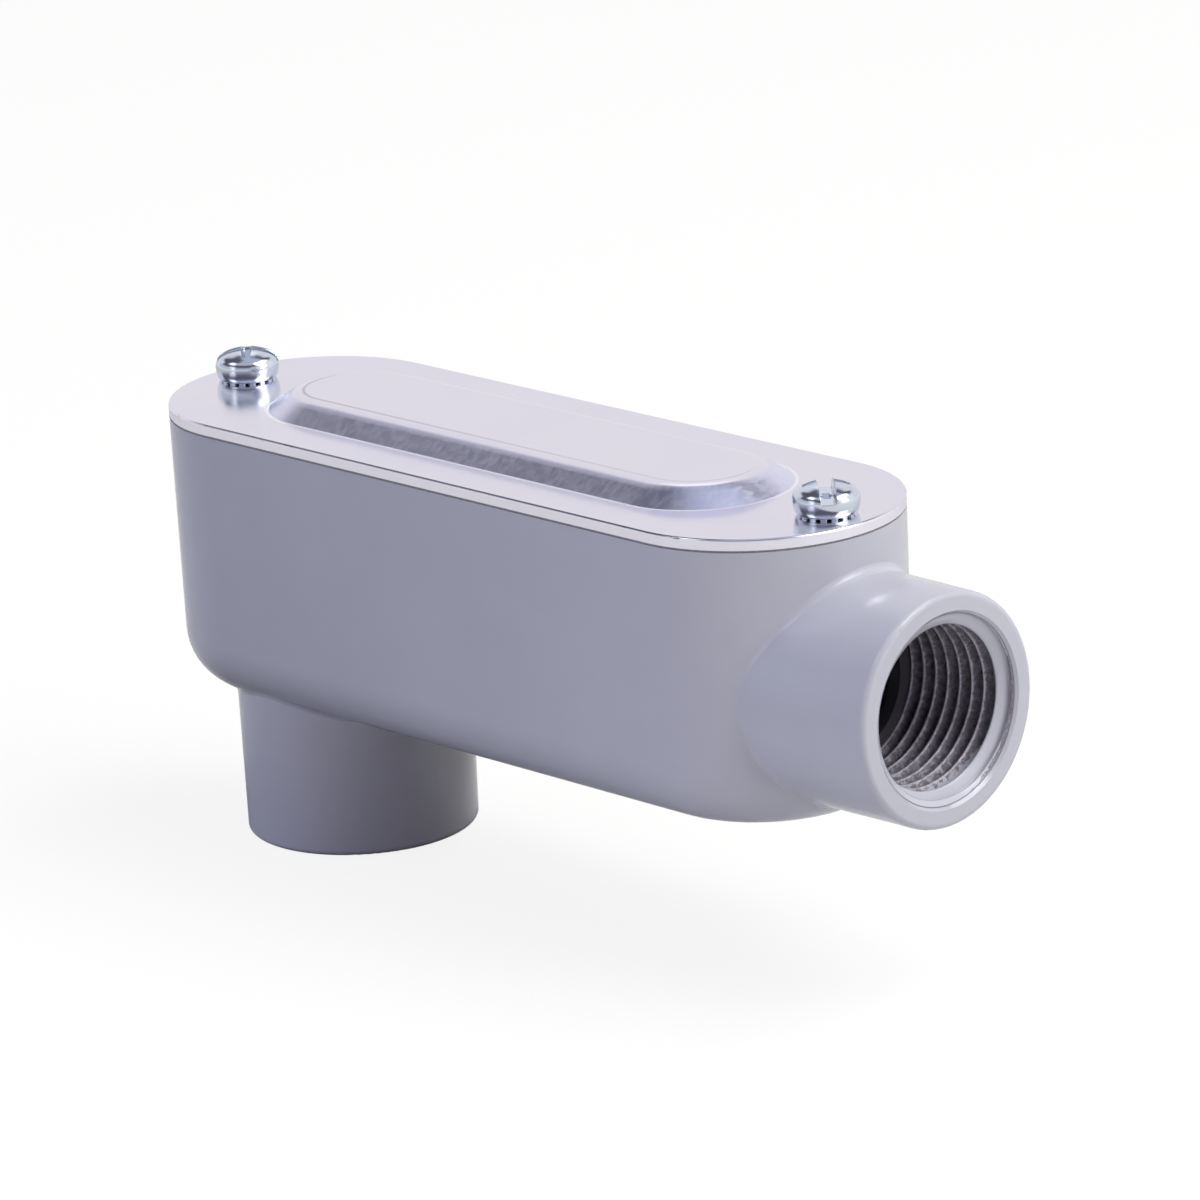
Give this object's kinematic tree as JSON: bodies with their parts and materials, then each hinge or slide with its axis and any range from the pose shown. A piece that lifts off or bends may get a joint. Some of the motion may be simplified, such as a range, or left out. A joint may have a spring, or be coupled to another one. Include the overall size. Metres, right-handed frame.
{
  "type": "conduit body",
  "caption": "Die-cast elbow housing for threaded conduit with a removable cover, one hub in its end and one in its back.",
  "frame": {"origin": "centre of the back hub's mouth", "axes": "+X along the body towards the end hub, +Z away from the back hub's mouth, up to the cover"},
  "size_m": [0.1181, 0.0334, 0.0552],
  "materials": {
    "body_paint": "glossy grey enamel over a die-cast aluminium body",
    "gasket_rubber": "matt black sheet",
    "cover_sheet": "bare rolled aluminium sheet, satin",
    "screw_zinc": "bright zinc plating"
  },
  "bodies": {
    "root": {"body_casting": "body_paint", "gasket": "gasket_rubber", "cover": "cover_sheet", "cover_screw_left": "screw_zinc", "cover_screw_right": "screw_zinc"}
  },
  "joints": []
}
